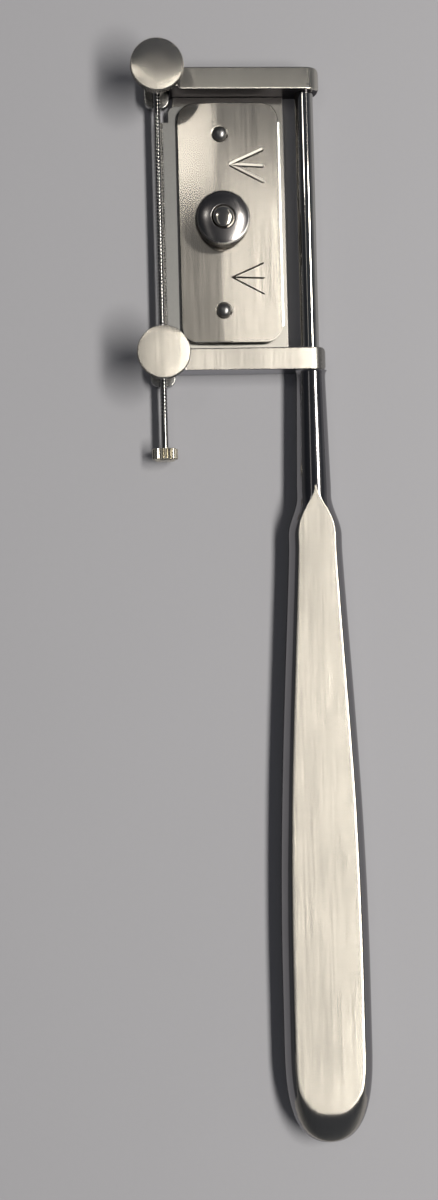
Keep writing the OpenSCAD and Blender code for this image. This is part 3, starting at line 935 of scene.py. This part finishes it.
def shank_outline(foot, top):
    """Threaded shank over its stem and button. It ends a little way inside the disc head."""
    neck, relieved = CAP_HIGH.z + 0.1, SCREW_RADIUS - 0.05
    outline = [(0, foot), (BUTTON_RADIUS - BUTTON_CHAMFER, foot, 0),
               (BUTTON_RADIUS, foot + BUTTON_CHAMFER, 0), (BUTTON_RADIUS, foot + BUTTON_HEIGHT, 0),
               (STEM_RADIUS, foot + BUTTON_HEIGHT + 0.02, 0), (STEM_RADIUS, neck, 0),
               (SCREW_RADIUS - 0.15, neck, 0), (SCREW_RADIUS, neck + 0.1, 0)]
    outline += [(SCREW_RADIUS, z, 1) for z in steps(neck + 0.15, top - 0.15, 84)]
    return outline + [(relieved, top - 0.1, 0), (relieved, top + 0.2, 0), (0, top + 0.2)]


def build_screw(name, node, body, y0):
    top, radius = SCREW_HIGH.z, (SCREW_HIGH.x - SCREW_LOW.x) / 2
    base = top - DISC_THICKNESS
    disc = (disc_outline(radius, base, top), DISC_TEETH * 6, knurl(DISC_TEETH, DISC_TOOTH), False)
    shank = (shank_outline(SCREW_LOW.z, base), 48, thread(SCREW_PITCH, SCREW_THREAD), False)
    thing = turned(name, [disc, shank], (ROLLER_X, y0, 0))

    def which(centre, normal):
        at_rim = math.hypot(centre.x - ROLLER_X, centre.y - y0) > radius - DISC_BEVEL
        if at_rim and in_gap(centre, (ROLLER_X, y0), DISC_TEETH):
            return 2
        # The face gets the pale finish, the rim and the rest of the screw a dark one as painted shade
        return 0 if centre.z > base + DISC_THICKNESS / 2 and normal.z > 0.5 else 1

    place(thing, body, "screw_steel", node, smooth=28, choose=which,
          materials=[DISC_FACE, KNURL_SHADED_STEEL, KNURL_GAP_SHADE])


SPIRAL_PITCH, SPIRAL_DEPTH, SPIRAL_POWER = 0.65, 0.1, 4
SPIRAL_START_Y, SPIRAL_FADE, SPIRAL_RINGS = -10.2, 0.8, 16
SPIGOT_RADIUS = 0.45


def rope(height, turns):
    """Depth of the round groove that winds along the roller."""
    return SPIRAL_DEPTH * (0.5 - 0.5 * math.cos(TURN * (height / SPIRAL_PITCH - turns))) ** SPIRAL_POWER


def build_roller():
    start, radius = ROLLER_LOW.y, ROLLER_RADIUS
    length, shoulder, spiral = ROLLER_HIGH.y - start, KNOB_HIGH.y - start, SPIRAL_START_Y - start
    turns = int((length - spiral) / SPIRAL_PITCH)
    outline = [(0, 0), (SPIGOT_RADIUS, 0, 0), (SPIGOT_RADIUS, shoulder, 0), (radius, shoulder, 0)]
    outline += [(radius, z, 0) for z in steps(shoulder + 0.5, spiral - 0.4, 6)]
    outline += [(radius, z, min(1, (z - spiral) / SPIRAL_FADE))
                for z in steps(spiral, length - 0.5, turns * SPIRAL_RINGS)]
    outline += [(radius - 0.04, length - 0.1, 0), (radius - 0.15, length, 0), (0, length)]
    shell = (outline, 32, rope, False)
    thing = turned("spiral_roller", [shell], (ROLLER_X, start, ROLLER_Z), along=Y)
    place(thing, "roller", "roller_steel", "roller_rod", smooth=50,
          materials=[polished("roller_polished")])


KNOB_TEETH, KNOB_TOOTH = 18, 0.38
KNOB_COLLAR, KNOB_COLLAR_INSET = 0.25, 0.45


def build_knob():
    length = KNOB_HIGH.y - KNOB_LOW.y
    radius = (KNOB_HIGH.x - KNOB_LOW.x) / 2
    collar, inner = KNOB_COLLAR, radius - KNOB_COLLAR_INSET
    outline = [(SPIGOT_RADIUS, 0, 0), (inner - 0.2, 0, 0), (inner, collar, 0),
               (inner + 0.03, collar + 0.01, 0), (radius - 0.1, collar + 0.03, 1),
               (radius, collar + 0.13, 1), (radius, length - 0.12, 1), (radius - 0.1, length - 0.02, 1),
               (inner, length, 0), (SPIGOT_RADIUS, length, 0)]
    shell = (outline, KNOB_TEETH * 8, knurl(KNOB_TEETH, KNOB_TOOTH), True)
    thing = turned("roller_grip", [shell], (ROLLER_X, KNOB_LOW.y, ROLLER_Z), along=Y)
    place(thing, "roller", "knob_steel", "roller_knob", smooth=28, materials=[polished("knob_satin")])


# Blade

HONED_WIDTH, HONED_EDGE, HONED_FALL = 0.75, 0.05, 0.16
# Pale tint of the honed bevels: painted highlight, on a strip that is also smoother
HONED_HIGHLIGHT_TINT, HONED_SHINE = (0.9, 0.89, 0.86), 0.18
GRAIN, GRAIN_HEIGHT = (0.1, 0.1, 0.1), 0.002
GRAIN_DARK, GRAIN_PALE = (0.33, 0.33, 0.325), (0.4, 0.4, 0.39)
STROKE = (1.5, 0.08, 1)


def finish_blade():
    """The blade keeps its CAD solid: matt ground, with honed bevels along both cutting edges, smoother and
    painted pale as a highlight.
    """
    finish = Finish("blade_matt")
    apart = finish.add("ShaderNodeSeparateXYZ")
    finish.link(finish.place, apart.inputs["Vector"])
    middle_x = ORIGIN.x + SEAT_X * MM
    half = size_of("razor_blade", X) / 2
    border = half - HONED_WIDTH
    across = finish.math("ABSOLUTE", finish.math("SUBTRACT", apart.outputs["X"], middle_x))
    honed = finish.range(across, 0, 1, border * MM, (border + HONED_EDGE) * MM)
    lean = finish.range(across, 0, -HONED_FALL, border * MM, half * MM)
    grain = finish.noise(GRAIN)
    tone = finish.blend(finish.range(grain, 0, 1), shade(GRAIN_DARK, 1), shade(GRAIN_PALE, 1))
    finish.put("Base Color", finish.blend(honed, tone, shade(HONED_HIGHLIGHT_TINT, 1)))
    rough = finish.range(finish.noise(STROKE), 0.42, 0.48)
    finish.put("Roughness", finish.math("SUBTRACT", rough, finish.math("MULTIPLY", honed, HONED_SHINE)))
    finish.put("Metallic", 1)
    finish.bump(finish.math("ADD", finish.math("MULTIPLY", grain, GRAIN_HEIGHT), lean), 1)
    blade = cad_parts["razor_blade"]
    blade.data.materials.clear()
    blade.data.materials.append(finish.material)


# Room: a pale table, lights over its left and right, and dim walls

TABLE_COLOUR = (0.425, 0.43, 0.465)
TABLE_MOTTLE = 0.015
TABLE_SIZE = 6.0
CLOUD, SPECK, CLOUD_SHARE = (60, 60, 60), (1.2, 1.2, 1.2), 0.6


def build_table():
    finish = Finish("pale_table")
    specks = finish.noise(SPECK, detail=4)
    mottle = finish.weigh(finish.noise(CLOUD, detail=5), specks, CLOUD_SHARE)
    dark, pale = shade(TABLE_COLOUR, 1 - TABLE_MOTTLE), shade(TABLE_COLOUR, 1 + TABLE_MOTTLE)
    finish.put("Base Color", finish.blend(finish.range(mottle, 0, 1), dark, pale))
    finish.put("Roughness", finish.range(specks, 0.6, 0.7))
    finish.put("Specular IOR Level", 0.15)
    finish.bump(specks, 0.01)
    bm = bmesh.new()
    half = TABLE_SIZE / 2
    corners = [bm.verts.new((x * half, y * half, 0)) for x, y in ((-1, -1), (1, -1), (1, 1), (-1, 1))]
    bm.faces.new(corners)
    table = piece_from(bm, "table_top")
    table.data.materials.append(finish.material)


LIGHT_TINT = (1.0, 0.955, 0.88)
LIGHT_HEIGHT = 0.9
# Name: radiance, then the tube's reach in x and in y, in metres from the origin
TUBES = {
    "main_tube": (26.5, (0.423, 0.603), (-0.54, 0.342)),
    "main_tube_end": (6.0, (0.5, 0.52), (0.342, 0.9)),
    "side_tube_near": (0.6, (-0.415, -0.325), (-0.54, 0.31)),
    "side_tube_far": (13.5, (-0.415, -0.325), (0.31, 0.392)),
}


def build_lights():
    for name, (radiance, across, along) in TUBES.items():
        width, length = across[1] - across[0], along[1] - along[0]
        lamp = bpy.data.lights.new(name, "AREA")
        lamp.shape = "RECTANGLE"
        lamp.size, lamp.size_y = width, length
        lamp.energy = radiance * math.pi * width * length
        lamp.color = LIGHT_TINT
        thing = bpy.data.objects.new(name, lamp)
        thing.location = ORIGIN + Vector((sum(across) / 2, sum(along) / 2, LIGHT_HEIGHT))
        thing.visible_camera = False
        bpy.context.scene.collection.objects.link(thing)


# Light of the walls at the horizon and of the ceiling, and the angles between which it changes
HORIZON = (0.235, 0.235, 0.24)
CEILING = (0.07, 0.075, 0.087)
WALL_ANGLES = (12, 30)
# Strength of the light on the far left, and the directions between which it grows to full
LEFT_WALL, LEFT_X, RIGHT_X = 0.45, -0.8, 0.5


def build_world():
    """Dim room whose walls are paler towards the table's horizon, and darker on the left."""
    world = bpy.data.worlds.new("room")
    world.use_nodes = True
    bpy.context.scene.world = world
    nodes, links = world.node_tree.nodes, world.node_tree.links
    direction = nodes.new("ShaderNodeTexCoord")
    apart = nodes.new("ShaderNodeSeparateXYZ")
    ramp = nodes.new("ShaderNodeValToRGB")
    side = nodes.new("ShaderNodeMapRange")
    links.new(direction.outputs["Generated"], apart.inputs["Vector"])
    for stop, colour, angle in zip(ramp.color_ramp.elements, (HORIZON, CEILING), WALL_ANGLES):
        stop.position = math.sin(math.radians(angle))
        stop.color = (*colour, 1)
    for key, number in (("From Min", LEFT_X), ("From Max", RIGHT_X), ("To Min", LEFT_WALL), ("To Max", 1)):
        side.inputs[key].default_value = number
    links.new(apart.outputs["Z"], ramp.inputs["Fac"])
    links.new(apart.outputs["X"], side.inputs["Value"])
    links.new(side.outputs["Result"], nodes["Background"].inputs["Strength"])
    links.new(ramp.outputs["Color"], nodes["Background"].inputs["Color"])


# Camera: fitted to places on the knife, in the photograph's frame of 438 x 1200 pixels
CAMERA_AT = (-34.4446, -47.7008, 271.5646)
CAMERA_TURN = (0.0189, -0.0620, -0.0252)
IMAGE_HEIGHT = 1200
FOCAL_PIXELS = 1494.03
SENSOR_HEIGHT = 24


def build_camera():
    camera = bpy.data.cameras.new("camera")
    camera.sensor_fit = "VERTICAL"
    camera.sensor_height = SENSOR_HEIGHT
    camera.lens = FOCAL_PIXELS / IMAGE_HEIGHT * SENSOR_HEIGHT
    camera.clip_start = 0.01
    thing = bpy.data.objects.new("camera", camera)
    bpy.context.scene.collection.objects.link(thing)
    turn_x, turn_y, turn_z = (Matrix.Rotation(angle, 3, axis) for angle, axis in zip(CAMERA_TURN, "XYZ"))
    spot = Matrix.Translation(ORIGIN + Vector(CAMERA_AT) * MM)
    thing.matrix_world = spot @ (turn_z @ turn_y @ turn_x).to_4x4()
    bpy.context.scene.camera = thing


build_camera()
build_world()
build_lights()
build_table()

build_handle()
build_rod()
build_arm("near_arm", "lower_arm", 0, round_finish=polished)
build_arm("far_arm", "upper_arm", ARM_SPACING, round_finish=brushed)
build_bed()
build_stud()
build_pins()
finish_blade()
build_plate()
build_nut()
for side, y0 in (("lower", SCREW_OFFSET), ("upper", ARM_SPACING + SCREW_OFFSET)):
    build_block(f"{side}_block", f"{side}_bearing_block", y0)
    build_cap(f"{side}_cap", f"{side}_bearing_cap", y0)
    build_screw(f"{side}_screw", f"{side}_adjusting_screw", f"{side}_screw", y0)
build_roller()
build_knob()

bpy.context.scene.view_settings.view_transform = "Standard"
